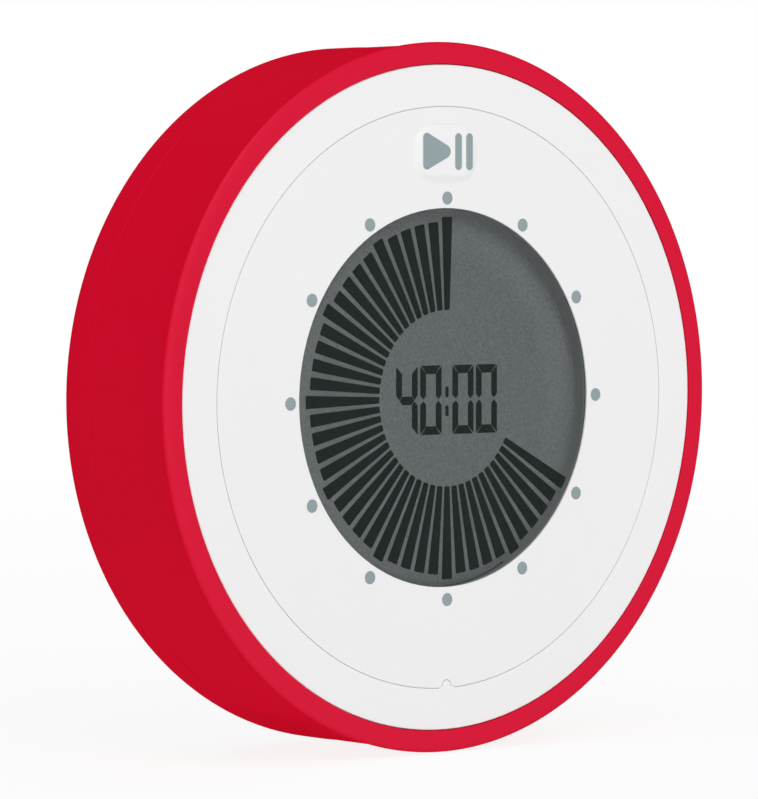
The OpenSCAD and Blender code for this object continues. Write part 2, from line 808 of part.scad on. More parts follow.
module cover_screws() {
    color("silver")
        case_screw_places()
            difference() {
                union() {
                    rod(screw_head_r, screw_head_z - screw_head_t, screw_head_z);
                    rod(screw_r, screw_head_z - eps, cover_z - air - 1);
                }
                cross_recess(screw_head_z - screw_head_t, 1.3);
            }
}

// Cross recess in a screw head whose outer face is at z
module cross_recess(z, half) {
    for (a = [0, 90])
        rotate(a) block(-half, half, -0.25, 0.25, z - 1, z + 0.8);
}

module board_screws() {
    color("silver")
        board_screw_places()
            difference() {
                union() {
                    rod(board_head_r, board_top, board_top + board_head_t);
                    rod(board_screw_r, board_z - board_screw_len, board_top + eps);
                }
                translate([0, 0, 2 * board_top + board_head_t])
                    mirror([0, 0, 1])
                        cross_recess(board_top, board_head_r * 0.6);
            }
}

module switch_board() {
    color("seagreen")
        difference() {
            block(-switch_board_w / 2, switch_board_w / 2, switch_board_foot, switch_board_edge,
                switch_board_z, switch_board_z + switch_board_t);
            for (s = [-1, 1])
                translate([s * stake_x, stake_y, 0]) rod(stake_r + fit_gap, 0, board_z);
        }
}

module slide_switch(x) {
    slot_w = knob_stem_w + 2 * switch_travel + 0.4;
    color("silver")
        translate([x, switch_y, 0])
            difference() {
                block(-switch_body[0] / 2, switch_body[0] / 2, -switch_body[1] / 2, switch_body[1] / 2,
                    switch_z, switch_board_z);
                block(-slot_w / 2, slot_w / 2, -knob_stem_h / 2 - 0.2, knob_stem_h / 2 + 0.2, switch_z - 1,
                    switch_z + 1.4);
            }
}

module volume_switch() { slide_switch(-switch_x); }

module repeat_switch() { slide_switch(switch_x); }

module switch_leads() {
    lead_y = switch_board_edge - 1.6;
    color("firebrick")
        for (i = [-1.5 : 1 : 1.5])
            translate([i * lead_pitch, lead_y, 0]) rod(lead_r, switch_board_z + switch_board_t, board_z);
}

// ---- Power ----

module battery_cells() {
    color("goldenrod")
        for (turn = [0, 180])
            rotate(turn)
                translate([bay_x - contact_t - dimple, cell_y, cell_z])
                    rotate([0, -90, 0]) {
                        rod(pip_r, 0, pip_h + 0.1);
                        rotate_extrude()
                            polygon([[0, pip_h], [cell_r - 0.5, pip_h], [cell_r, pip_h + 0.5],
                                [cell_r, cell_len - 0.4], [cell_r - 0.4, cell_len], [0, cell_len]]);
                    }
}

// Sheet against the bay's end wall at +x, behind the cell at y
module contact_sheet(y, tab) {
    block(bay_x - contact_t, bay_x, y - contact_w / 2, y + contact_w / 2, floor_z + 0.5, bay_top - 0.2);
    if (tab)
        block(bay_x - contact_t, bay_x, y - contact_tab_w / 2, y + contact_tab_w / 2, bay_top - 0.3,
            tab_top);
}

// Pip of the sheet that meets the cell's positive end
module contact_pip(y) {
    translate([bay_x - contact_t - dimple, y, cell_z])
        rotate([0, 90, 0])
            rotate_extrude()
                polygon([[0, 0], [3 * dimple, 0], [4.5 * dimple, dimple], [4.5 * dimple, dimple + 0.1],
                    [0, dimple + 0.1]]);
}

// Conical spring from the sheet at +x to the cell's negative end: one swept wire
module coil(y) {
    turns = 3.5;
    steps = 14;
    sides = 8;
    wire = spring_wire / 2;
    rings = turns * steps;
    sunk = 0.12;                            // the first turn is pressed into the sheet
    length = spring_len - 2 * wire + sunk;
    function wire_at(k) =
        let (t = k / rings, r = cell_d * (0.324 - 0.086 * t), c = r * polar(1, 360 * k / steps))
        [bay_x - contact_t - wire + sunk - length * t, y + c[0], cell_z + c[1]];
    points = [for (k = [0 : rings], j = [0 : sides - 1])
        let (c = wire_at(k), a = 360 * k / steps, out = [0, cos(a), sin(a)])
        c + wire * (cos(360 * j / sides) * out + sin(360 * j / sides) * [1, 0, 0])];
    faces = concat(
        [[for (j = [sides - 1 : -1 : 0]) j]],
        [for (k = [0 : rings - 1], j = [0 : sides - 1], half = [0, 1])
            let (a = k * sides + j, b = k * sides + (j + 1) % sides)
            half == 0 ? [a, b, b + sides] : [a, b + sides, a + sides]],
        [[for (j = [0 : sides - 1]) rings * sides + j]]);
    polyhedron(points, faces);
}

module positive_contact() {
    color("silver") {
        contact_sheet(cell_y, true);
        contact_pip(cell_y);
    }
}

module negative_spring() {
    color("silver") {
        contact_sheet(-cell_y, true);
        coil(-cell_y);
    }
}

// Joins the two cells at -x: a spring for one and a pip for the other
module bridge_contact() {
    color("silver")
        rotate(180) {
            contact_sheet(cell_y, false);
            contact_sheet(-cell_y, false);
            contact_pip(cell_y);
            coil(-cell_y);
            block(bay_x - contact_t, bay_x, -cell_y, cell_y, cell_z - bridge_h / 2, cell_z + bridge_h / 2);
        }
}

module back_magnet() {
    color("lightsteelblue") rod(magnet_d / 2, 0, magnet_t);
}

module foot_ring() {
    color("dimgray") tube(foot_ro, foot_ri, 0, plate_z + foot_groove);
}

// ---- Twist ring ----

module ring_frame() {
    color("firebrick") tube(frame_ro, bore_r, band_top, border_back_z);
}

module ring_gear() {
    color("ivory")
        difference() {
            rod(bore_r, gear_z, gear_top);
            rotate(-90)
                translate([0, 0, gear_z - 1])
                    linear_extrude(gear_w + 2)
                        polygon(gear_outline(ring_teeth, ring_tip_r, ring_root_r, backlash));
        }
}

// Soft sleeve: front border, rounded lip, a hollow sweep behind it and a straight wall to the parting line
module grip_sleeve() {
    edge = 0.15;                            // chamfer of the border's inner edge
    lip_z = border_z - lip_round;
    sweep_steps = 8;
    color([0.83, 0.09, 0.2])
        rotate_extrude($fn = 180)
            polygon(concat(
                [[border_ri, border_back_z], [border_ri, border_z - edge], [border_ri + edge, border_z]],
                [for (a = [90 : -15 : 0]) [lip_r - lip_w * (1 - cos(a)), lip_z + lip_round * sin(a)]],
                [for (i = [1 : sweep_steps])
                    [side_r + wall_drop * pow(1 - i / sweep_steps, 2), lip_z - lip_sweep * i / sweep_steps]],
                [[side_r, seam_z + parting], [side_r - parting, seam_z], [frame_ro, seam_z],
                    [frame_ro, border_back_z]]));
}

module rear_band() {
    flange_ri = housing_r + band_clear;
    edge = 0.3;                             // chamfer of the flange's inner edge
    color([0.83, 0.09, 0.2])
        rotate_extrude($fn = 180)
            polygon(concat(
                [[flange_ri, band_top], [flange_ri, base_stand + edge], [flange_ri + edge, base_stand]],
                [for (a = [-90 : 10 : 0])
                    [band_r - rear_round, base_stand + rear_round] + polar(rear_round, a)],
                [[band_r, seam_z - parting], [band_r - parting, seam_z], [frame_ro, seam_z],
                    [frame_ro, band_top]]));
}

module encoder_shaft() {
    color("silver")
        translate([0, encoder_y, 0]) rod(shaft_r, gear_z - 3, board_z - 0.8);
}

module drive_pinion() {
    color("ivory")
        translate([0, encoder_y, gear_z + axial_play])
            difference() {
                rotate(-90)
                    linear_extrude(pinion_w)
                        polygon(gear_outline(pinion_teeth, pinion_root_r, pinion_tip_r, -backlash));
                rod(shaft_r, -1, pinion_w + 1);
            }
}

// ---- Start key ----

// Low mound on the face, body through the cover, flange behind it and a short stem
module start_button() {
    layers = 5;
    shoulder = 0.9;                         // how far in the mound reaches its full height
    color("white")
        translate([key_x, key_y, 0]) {
            hull()
                for (i = [0 : layers])
                    let (a = 90 * i / layers, inset = shoulder * (1 - cos(a)))
                        translate([0, 0, case_depth - 0.1])
                            linear_extrude(0.1 + key_rise * sin(a))
                                rounded_rect(key_w - 2 * inset, key_h - 2 * inset, key_corner - inset);
            translate([0, 0, key_flange_z])
                linear_extrude(case_depth - 0.1 - key_flange_z)
                    rounded_rect(key_w, key_h, key_corner);
            translate([0, 0, key_flange_z])
                linear_extrude(key_flange_t)
                    rounded_rect(key_w + 2 * key_flange_over, key_h + 2 * key_flange_over, key_corner);
            rod(stem_r, plunger_top, key_flange_z + 0.1);
        }
}

// Start triangle and pause bars, printed on the key's flat top
module start_icon() {
    icon_lift = 0.27;                       // the print sits a little above the key's middle
    tri_x = -icon_h * 0.851;
    tri_w = icon_h * 1.21;
    tri_h = icon_h * 0.57;
    bar_w = icon_h * 0.228;
    color([0.57, 0.63, 0.63])
        translate([key_x, key_y + icon_lift, case_depth + key_rise])
            linear_extrude(print_t) {
                polygon(rounded([[tri_x, -tri_h], [tri_x + tri_w, 0], [tri_x, tri_h]],
                    [0.55, 0.75, 0.55], 6));
                for (x = [0.405, 0.8] * icon_h)
                    translate([x, 0]) rounded_rect(bar_w, icon_h, bar_w / 2 - 0.01);
            }
}

module switch_plunger() {
    color("black")
        translate([key_x, key_y, 0]) rod(plunger_r, board_top + tact_h - 0.6, plunger_top);
}

// ---- Slide switch knobs ----

module slider(x, set) {
    ridges = 3;
    knob_top = plate_z + 0.1;
    knob_floor = plate_z + pocket_depth - 0.1;
    color("dimgray")
        translate([x + set, switch_y, 0]) {
            difference() {
                block(-knob_w / 2, knob_w / 2, -knob_h / 2, knob_h / 2, knob_top, knob_floor);
                for (i = [0 : ridges - 1])
                    translate([(i - 1) * 0.8, 0, 0])
                        block(-0.18, 0.18, -knob_h, knob_h, knob_top - 1, knob_top + 0.25);
            }
            block(-knob_stem_w / 2, knob_stem_w / 2, -knob_stem_h / 2, knob_stem_h / 2, knob_floor - eps,
                switch_z + 1.1);
        }
}

// The volume slider rests at the middle of its three places, the repeat slider at the first of its two
module volume_slider() { slider(-switch_x, 0); }

module repeat_slider() { slider(switch_x, -switch_travel); }

// ---- Battery door ----

module battery_door() {
    color("whitesmoke")
        difference() {
            translate([0, 0, plate_z])
                linear_extrude(back_t)
                    rounded_rect(door_w, door_h, door_corner);
            rod(magnet_post_r + air, -1, floor_z + 1);
            translate([door_screw_x, 0, 0]) {
                rod(door_screw_r + fit_gap, 0, floor_z + 1);
                rod(door_head_r + fit_gap, 0, door_head_z);
            }
            // finger notch at the far end
            translate([-door_w / 2, 0, plate_z - 1]) cylinder(r = finger_r, h = 1 + back_t * 0.4);
        }
}

module door_screw() {
    color("silver")
        translate([door_screw_x, 0, 0])
            difference() {
                union() {
                    rod(door_head_r, plate_z + 0.1, door_head_z);
                    rod(door_screw_r, door_head_z - eps, bay_top - 4);
                }
                cross_recess(plate_z + 0.1, 1.3);
            }
}

// Stands the case upright: the face turns to -Y
module upright() {
    rotate([90, 0, 0]) children();
}

upright() rear_housing();
upright() battery_tray();
upright() front_cover();
upright() face_label();
upright() dial_dots();
upright() window_lens();
upright() lcd_bezel();
upright() lcd_segments();
upright() lcd_glass();
upright() lcd_reflector();
upright() lcd_frame();
upright() lcd_flex();
upright() flex_connector();
upright() main_board();
upright() controller_chip();
upright() crystal();
upright() start_switch();
upright() encoder_body();
upright() buzzer();
upright() cover_screws();
upright() board_screws();
upright() switch_board();
upright() volume_switch();
upright() repeat_switch();
upright() switch_leads();
upright() battery_cells();
upright() positive_contact();
upright() negative_spring();
upright() bridge_contact();
upright() back_magnet();
upright() foot_ring();
upright() ring_frame();
upright() ring_gear();
upright() grip_sleeve();
upright() rear_band();
upright() encoder_shaft();
upright() drive_pinion();
upright() start_button();
upright() start_icon();
upright() switch_plunger();
upright() volume_slider();
upright() repeat_slider();
upright() battery_door();
upright() door_screw();
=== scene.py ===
import json
import math

import bmesh
import bpy
from mathutils import Matrix, Vector


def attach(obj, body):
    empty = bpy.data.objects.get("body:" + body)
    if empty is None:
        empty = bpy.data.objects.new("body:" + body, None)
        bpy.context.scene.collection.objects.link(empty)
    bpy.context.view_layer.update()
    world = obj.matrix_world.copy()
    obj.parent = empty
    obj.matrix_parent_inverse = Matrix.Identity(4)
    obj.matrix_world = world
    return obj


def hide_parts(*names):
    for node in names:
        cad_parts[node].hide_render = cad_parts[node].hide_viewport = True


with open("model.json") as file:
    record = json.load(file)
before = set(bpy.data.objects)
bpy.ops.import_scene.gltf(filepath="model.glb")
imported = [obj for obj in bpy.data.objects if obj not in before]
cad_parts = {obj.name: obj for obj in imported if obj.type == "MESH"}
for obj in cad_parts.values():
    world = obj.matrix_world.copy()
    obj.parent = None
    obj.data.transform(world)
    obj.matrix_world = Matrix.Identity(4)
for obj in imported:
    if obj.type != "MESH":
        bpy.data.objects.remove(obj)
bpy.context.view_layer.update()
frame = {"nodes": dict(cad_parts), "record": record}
NODES = frame["nodes"]
MM = 0.001

# Sizes in millimetres, from the source of the part. Heights run out of the face from the back plane.
DEPTH = 25.0
LIP_R = 41.25
WALL_DROP = 0.26
SIDE_R = LIP_R - WALL_DROP
SLEEVE_RI = SIDE_R - 1.05
COVER_R = LIP_R - 2.6

# the red border in front, with the lip round it and the sweep from the lip to the wall
BORDER_RI = COVER_R + 0.06
BORDER_Z = DEPTH + 0.14
BORDER_BACK_Z = BORDER_Z - 1.25
BORDER_EDGE = 0.07
LIP_DEEP = 0.42
LIP_WIDE = 1.5
LIP_STEPS = 16
LIP_SWEEP = 5.0
SWEEP_STEPS = 24

# the parting line and the rear band
SEAM_Z = 10.75
SEAM_CHAMFER = 0.12
SLEEVE_CHAMFER = 0.03
BAND_R = SIDE_R + 0.06
BAND_RI = 36.07
BAND_Z = 5.04
BAND_TOP = 6.64
BAND_CHAMFER = 0.3
REAR_ROUND = 2.1
RING_STEPS = 360

# the start key: a cap that rises through the face, and its flange behind the cover
KEY_W = 9.446
KEY_H = 6.565
KEY_CORNER = 2.4
KEY_X = -0.27
KEY_Y = 28.2975
KEY_RISE = 0.36
KEY_GROW = 0.226
KEY_GROW_Z = DEPTH - 0.25
KEY_FOOT = 0.02
KEY_SHOULDER = 1.0
SHOULDER_STEPS = 8
FLANGE_T = 0.8
FLANGE_Z = DEPTH - 1.3 - 0.2 - FLANGE_T
FLANGE_MORE = 1.8
CORNER_STEPS = 8

# the window lens, which stops just short of the display's pattern, so that the two faces are not in one plane
LENS_R = 22.975
LENS_BACK_Z = 24.5 + 0.04
LENS_FRONT_Z = 24.8
LENS_TURN = 2

# edges that turn by more than this many degrees stay sharp
SHARP = 32
KEY_SHARP = 35


# ---------------------------------------------------------------- shapes

def at(x, y, z):
    """Dial coordinates (right, up, out of the face) in millimetres, as a point of the part's frame."""
    return Vector((x * MM, -z * MM, y * MM))


def new_object(name, verts, faces, sharp=SHARP):
    """A smooth-shaded object of these points and faces."""
    mesh = bpy.data.meshes.new(name)
    mesh.from_pydata([tuple(v) for v in verts], [], faces)
    bm = bmesh.new()
    bm.from_mesh(mesh)
    bmesh.ops.recalc_face_normals(bm, faces=bm.faces)
    bm.to_mesh(mesh)
    bm.free()
    for p in mesh.polygons:
        p.use_smooth = True
    mesh.set_sharp_from_angle(angle=math.radians(sharp))
    ob = bpy.data.objects.new(name, mesh)
    bpy.context.scene.collection.objects.link(ob)
    return ob


def piece(ob, body, slot, *replaced):
    """Gives a made piece its material, its body and the nodes that it stands in for."""
    ob.data.materials.clear()
    ob.data.materials.append(MATS[slot])
    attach(ob, body)
    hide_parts(*replaced)


def stack(rings, closed):
    """Quads between neighbouring rings of the same count of points, and back to the first ring if closed."""
    count = len(rings[0])
    faces = []
    for k in range(len(rings) if closed else len(rings) - 1):
        a = k * count
        b = (k + 1) % len(rings) * count
        for i in range(count):
            j = (i + 1) % count
            faces.append((a + i, a + j, b + j, b + i))
    return faces


def lathe(name, profile):
    """A closed outline of (radius, height) points turned about the dial's axis."""
    rings = []
    for i in range(RING_STEPS):
        a = 2 * math.pi * i / RING_STEPS
        rings.append([at(r * math.cos(a), r * math.sin(a), z) for r, z in profile])
    return new_object(name, sum(rings, []), stack(rings, True))


def capped(name, rings, sharp=SHARP):
    """Rings of points one over the other, closed by a flat face at each end."""
    verts = sum(rings, [])
    count = len(rings[0])
    faces = stack(rings, False)
    faces.append(tuple(range(count)))
    faces.append(tuple(range(len(verts) - count, len(verts))))
    return new_object(name, verts, faces, sharp)


def arc(cx, cy, r, a0, a1, steps):
    """Points of a circle from angle a0 to a1, in degrees."""
    out = []
    for i in range(steps + 1):
        a = math.radians(a0 + (a1 - a0) * i / steps)
        out.append((cx + r * math.cos(a), cy + r * math.sin(a)))
    return out


def rounded_rect(w, h, r):
    """Points of a rounded rectangle, against the clock."""
    x = w / 2 - r
    y = h / 2 - r
    out = []
    for cx, cy, a0 in ((x, y, 0), (-x, y, 90), (-x, -y, 180), (x, -y, 270)):
        out += arc(cx, cy, r, a0, a0 + 90, CORNER_STEPS)
    return out


# ---------------------------------------------------------------- shader nodes

def feed(tree, value, socket):
    """Sets an input: another node's output is linked, a colour or a number is written."""
    if isinstance(value, bpy.types.NodeSocket):
        tree.links.new(value, socket)
    elif isinstance(value, tuple):
        socket.default_value = (*value, 1)
    else:
        socket.default_value = value


def node_of(tree, kind, inputs, **settings):
    """A new node; the inputs are given by their names or numbers."""
    node = tree.nodes.new(kind)
    for key, value in settings.items():
        setattr(node, key, value)
    for key, value in inputs.items():
        feed(tree, value, node.inputs[key])
    return node


def new_material(name):
    """An empty material, its node tree and the object's own coordinates in it."""
    mat = bpy.data.materials.new(name)
    mat.use_nodes = True
    tree = mat.node_tree
    tree.nodes.clear()
    return mat, tree, tree.nodes.new("ShaderNodeTexCoord").outputs["Object"]


def finish(tree, shader, kind="Material"):
    node_of(tree, "ShaderNodeOutput" + kind, {"Surface": shader})


def noise_of(tree, coords, scale, detail, roughness):
    return node_of(tree, "ShaderNodeTexNoise", {
        "Vector": coords, "Scale": scale, "Detail": detail, "Roughness": roughness}).outputs["Fac"]


def ramp_of(tree, fac, low, high, to_low=0.0, to_high=1.0):
    return node_of(tree, "ShaderNodeMapRange", {
        "Value": fac, "From Min": low, "From Max": high, "To Min": to_low, "To Max": to_high}).outputs["Result"]


def pattern_of(tree, coords, noise, to_low=0.0, to_high=1.0, low=0.3):
    """Noise, given as (scale, detail, roughness), with its usual range spread over the range asked for."""
    return ramp_of(tree, noise_of(tree, coords, *noise), low, 0.7, to_low, to_high)


def mix_of(tree, fac, a, b, blend="MIX"):
    return node_of(tree, "ShaderNodeMix", {0: fac, 6: a, 7: b}, data_type="RGBA", blend_type=blend).outputs[2]


def shader_mix_of(tree, fac, a, b):
    return node_of(tree, "ShaderNodeMixShader", {0: fac, 1: a, 2: b}).outputs[0]


def math_of(tree, operation, a, b):
    return node_of(tree, "ShaderNodeMath", {0: a, 1: b}, operation=operation).outputs[0]


def length_of(tree, vector):
    return node_of(tree, "ShaderNodeVectorMath", {0: vector}, operation="LENGTH").outputs["Value"]


def bump_of(tree, coords, strength, *noise):
    fine = noise_of(tree, coords, *noise)
    return node_of(tree, "ShaderNodeBump", {
        "Height": fine, "Strength": strength, "Distance": BUMP_DISTANCE}).outputs["Normal"]


def seen_of(tree):
    """1 for camera rays and for what a gloss or a clear sheet shows, 0 for rays that only carry light."""
    paths = tree.nodes.new("ShaderNodeLightPath").outputs
    seen = math_of(tree, "MAXIMUM", paths["Is Camera Ray"], paths["Is Glossy Ray"])
    return math_of(tree, "MAXIMUM", seen, paths["Is Transmission Ray"])


def grey(value):
    return (value, value, value)


def shade(colour, k):
    return tuple(min(1.0, c * k) for c in colour)


# ---------------------------------------------------------------- materials

BUMP_DISTANCE = 0.00004
CLOUDS = (60.0, 4.0, 0.6)
DUST = (2600.0, 1.0, 0.4)
SMEARS = (180.0, 5.0, 0.65)
SHEET_SMEARS = (220.0, 4.0, 0.6)
FILM_GRAIN = (4200.0, 2.0, 0.75)
GRIP_CLOUDS = (70.0, 4.0, 0.6)
GRIP_GRAIN = (5200.0, 3.0, 0.55)
IOR = 1.5
COAT_ROUGH = 0.2
SHEET_TINT = grey(0.99)
SHEET_GLOSS = grey(0.9)
FILM_DARK = (0.142, 0.158, 0.158)
FILM_LIGHT = (0.228, 0.248, 0.248)
WALL_RED = (0.676, 0.0022, 0.0235)
# the front border's red: the wall's red with a painted sheen, paler in green and blue
BORDER_RED_WITH_PAINTED_SHEEN = (0.676, 0.0026, 0.034)


def surface(name, colour, rough, metal=0.0, spec=0.5, grain=0.0, grain_scale=4000.0, mottle=0.015, rough_var=0.05,
            coat=0.0, specks=0.0):
    """A moulded or plated finish: a faint cloudiness of colour, uneven gloss, moulded grain and fine specks."""
    mat, tree, coords = new_material(name)
    base = mix_of(tree, pattern_of(tree, coords, CLOUDS), shade(colour, 1 - mottle), shade(colour, 1 + mottle))
    if specks:
        dust = ramp_of(tree, noise_of(tree, coords, *DUST), 0.72, 0.8, 0.0, specks)
        base = mix_of(tree, dust, base, shade(colour, 0.7))
    p = node_of(tree, "ShaderNodeBsdfPrincipled", {
        "Base Color": base,
        "Roughness": pattern_of(tree, coords, SMEARS, rough - rough_var, rough + rough_var),
        "Metallic": metal,
        "Specular IOR Level": spec,
        "IOR": IOR,
        "Coat Weight": coat,
        "Coat Roughness": COAT_ROUGH,
    })
    if grain:
        feed(tree, bump_of(tree, coords, grain, grain_scale, 3.0, 0.55), p.inputs["Normal"])
    finish(tree, p.outputs["BSDF"])
    return mat


def clear(name, gloss, rough):
    """A thin clear sheet: nearly all passes straight through, with a faint gloss on top."""
    mat, tree, coords = new_material(name)
    through = node_of(tree, "ShaderNodeBsdfTransparent", {"Color": SHEET_TINT})
    top = node_of(tree, "ShaderNodeBsdfGlossy", {
        "Color": SHEET_GLOSS, "Roughness": pattern_of(tree, coords, SHEET_SMEARS, rough, rough + 0.08, low=0.35)})
    finish(tree, shader_mix_of(tree, gloss, through.outputs[0], top.outputs[0]))
    return mat


def reflector(name):
    """The grey behind the display: the fine grain of a metallised film, with painted light that brightens it towards
    its outer edge against the shade of the window's wall.
    """
    mat, tree, coords = new_material(name)
    film = mix_of(tree, pattern_of(tree, coords, FILM_GRAIN), FILM_DARK, FILM_LIGHT)
    parts = node_of(tree, "ShaderNodeSeparateXYZ", {0: coords}).outputs
    flat = node_of(tree, "ShaderNodeCombineXYZ", {"X": parts["X"], "Z": parts["Z"]}).outputs[0]
    # painted light: the grey turns lighter towards the outer edge, to offset the shade that the window's wall casts
    # there
    painted_rim_light = mix_of(tree, ramp_of(tree, length_of(tree, flat), 16.5 * MM, 21.5 * MM), grey(0.78), grey(1.0))
    p = node_of(tree, "ShaderNodeBsdfPrincipled", {
        "Base Color": mix_of(tree, 1.0, film, painted_rim_light, "MULTIPLY"), "Roughness": 0.8, "Specular IOR Level": 0.1})
    finish(tree, p.outputs["BSDF"])
    return mat


def grip(name):
    """Soft-touch red: a matt wall with a fine moulded grain, and a smoother front border whose paler red is a
    painted sheen.
    """
    mat, tree, coords = new_material(name)
    depth = node_of(tree, "ShaderNodeSeparateXYZ", {0: coords}).outputs["Y"]
    # mask of the front border: it raises the real gloss share and mixes in the painted sheen of the paler red
    front = ramp_of(tree, depth, -(BORDER_Z - LIP_DEEP) * MM, -(BORDER_Z - 0.12) * MM)
    clouds = mix_of(tree, pattern_of(tree, coords, GRIP_CLOUDS), grey(0.985), grey(1.0))
    # towards the front the red turns paler: a painted sheen over the wall's own red
    tone = mix_of(tree, 1.0, mix_of(tree, front, WALL_RED, BORDER_RED_WITH_PAINTED_SHEEN), clouds, "MULTIPLY")
    normal = bump_of(tree, coords, 0.12, *GRIP_GRAIN)
    matt = node_of(tree, "ShaderNodeBsdfDiffuse", {"Color": tone, "Normal": normal})
    gloss = node_of(tree, "ShaderNodeBsdfGlossy", {
        "Color": grey(1), "Roughness": pattern_of(tree, coords, SMEARS, 0.34, 0.44), "Normal": normal})
    share = ramp_of(tree, front, 0.0, 1.0, 0.003, 0.012)
    finish(tree, shader_mix_of(tree, share, matt.outputs[0], gloss.outputs[0]))
    return mat


# colour, roughness and what sets the finish apart
FINISHES = {
    "case_plastic": ((0.83, 0.83, 0.825), 0.5, {"grain": 0.35, "grain_scale": 2600, "specks": 0.15}),
    "tray_plastic": ((0.72, 0.72, 0.71), 0.5, {"grain": 0.2}),
    "face_plastic": ((0.86, 0.86, 0.862), 0.34, {"grain": 0.06, "mottle": 0.004, "spec": 0.35}),
    "label_film": ((0.853, 0.853, 0.855), 0.38, {"grain": 0.05, "mottle": 0.004, "spec": 0.35}),
    "dial_print": ((0.27, 0.34, 0.35), 0.55, {"mottle": 0.04, "spec": 0.3}),
    "bezel_dark": ((0.205, 0.222, 0.222), 0.8, {"spec": 0.05, "grain": 0.1}),
    "display_dark": ((0.0155, 0.0205, 0.0195), 0.7, {"mottle": 0.05, "spec": 0.03}),
    "frame_plastic": ((0.6, 0.6, 0.6), 0.5, {"grain": 0.2}),
    "flex_film": ((0.5, 0.24, 0.05), 0.3, {"coat": 0.4}),
    "connector_plastic": ((0.7, 0.66, 0.52), 0.5, {"grain": 0.2}),
    "circuit_board": ((0.02, 0.14, 0.06), 0.3, {"mottle": 0.15, "coat": 0.5}),
    "chip_epoxy": ((0.015, 0.015, 0.016), 0.25, {"grain": 0.3, "grain_scale": 900}),
    "crystal_can": ((0.66, 0.66, 0.67), 0.28, {"metal": 1.0, "grain": 0.1}),
    "switch_black": ((0.025, 0.025, 0.027), 0.5, {"grain": 0.3}),
    "screw_steel": ((0.6, 0.6, 0.61), 0.32, {"metal": 1.0, "grain": 0.25, "mottle": 0.06}),
    "switch_can": ((0.63, 0.63, 0.64), 0.3, {"metal": 1.0, "grain": 0.15}),
    "lead_red": ((0.45, 0.02, 0.02), 0.45, {}),
    "cell_wrap": ((0.08, 0.17, 0.3), 0.25, {"coat": 0.6, "mottle": 0.05}),
    "contact_plate": ((0.68, 0.67, 0.66), 0.22, {"metal": 1.0, "grain": 0.1, "mottle": 0.05}),
    "magnet_plating": ((0.62, 0.62, 0.64), 0.24, {"metal": 1.0, "grain": 0.15, "mottle": 0.08, "rough_var": 0.1}),
    "foot_rubber": ((0.06, 0.06, 0.064), 0.75, {
        "grain": 0.5, "grain_scale": 3000, "mottle": 0.12, "spec": 0.3, "specks": 0.25}),
    "ring_plastic": ((0.45, 0.01, 0.025), 0.45, {"grain": 0.2}),
    "gear_plastic": ((0.74, 0.71, 0.62), 0.4, {"grain": 0.15}),
    "shaft_steel": ((0.6, 0.6, 0.61), 0.25, {"metal": 1.0, "grain": 0.15}),
    "key_plastic": ((0.86, 0.86, 0.862), 0.36, {"grain": 0.05, "mottle": 0.004, "spec": 0.35}),
    "slider_plastic": ((0.035, 0.035, 0.038), 0.45, {"grain": 0.3}),
}
MATS = {name: surface(name, colour, rough, **rest) for name, (colour, rough, rest) in FINISHES.items()}
MATS["clear_window"] = clear("clear_window", 0.001, 0.05)
MATS["display_glass"] = clear("display_glass", 0.0, 0.04)
MATS["display_grey"] = reflector("display_grey")
MATS["grip_red"] = grip("grip_red")

for row in frame["record"]["subparts"]:
    slots = NODES[row["node"]].data.materials
    slots.clear()
    slots.append(MATS[row["material_slot"]])

# the display's pattern lies close to the grey behind it and would darken it
NODES["lcd_segments"].visible_shadow = False
NODES["lcd_segments"].visible_diffuse = False


# ---------------------------------------------------------------- twist ring

def sleeve_profile():
    """The outline of the soft sleeve: border, elliptical lip, sweep, wall and the front side of the parting line."""
    out = [(BORDER_RI, BORDER_BACK_Z), (BORDER_RI, BORDER_Z - BORDER_EDGE)]
    out += arc(BORDER_RI + BORDER_EDGE, BORDER_Z - BORDER_EDGE, BORDER_EDGE, 180, 90, 4)[1:]
    out += [(BORDER_RI + 3 * BORDER_EDGE, BORDER_Z)]
    for i in range(LIP_STEPS + 1):
        a = math.radians(90 - 90 * i / LIP_STEPS)
        out.append((LIP_R - LIP_WIDE * (1 - math.cos(a)), BORDER_Z - LIP_DEEP * (1 - math.sin(a))))
    for i in range(1, SWEEP_STEPS + 1):
        t = i / SWEEP_STEPS
        out.append((SIDE_R + WALL_DROP * (1 - t) ** 2, BORDER_Z - LIP_DEEP - LIP_SWEEP * t))
    out += [(SIDE_R, SEAM_Z + 4 * SLEEVE_CHAMFER), (SIDE_R, SEAM_Z + SLEEVE_CHAMFER)]
    out += [(SIDE_R - SLEEVE_CHAMFER, SEAM_Z), (SLEEVE_RI, SEAM_Z), (SLEEVE_RI, BORDER_BACK_Z)]
    return out


def band_profile():
    """The outline of the rear band: rounded towards the back, chamfered at the parting line."""
    out = [(BAND_RI, BAND_TOP), (BAND_RI, BAND_Z + BAND_CHAMFER), (BAND_RI + BAND_CHAMFER, BAND_Z)]
    out += arc(BAND_R - REAR_ROUND, BAND_Z + REAR_ROUND, REAR_ROUND, -90, 0, 16)
    out += [(BAND_R, SEAM_Z - 2 * SEAM_CHAMFER)]
    out += arc(BAND_R - SEAM_CHAMFER, SEAM_Z - SEAM_CHAMFER, SEAM_CHAMFER, 0, 90, 6)
    out += [(SLEEVE_RI, SEAM_Z), (SLEEVE_RI, BAND_TOP)]
    return out


piece(lathe("grip_sleeve_skin", sleeve_profile()), "twist_ring", "grip_red", "grip_sleeve")
piece(lathe("rear_band_skin", band_profile()), "twist_ring", "grip_red", "rear_band")


# ---------------------------------------------------------------- start key

def key_ring(z, more, corner=KEY_CORNER):
    """The key's outline at one height, larger by so much than its nominal size."""
    return [at(x + KEY_X, y + KEY_Y, z) for x, y in rounded_rect(KEY_W + more, KEY_H + more, corner)]


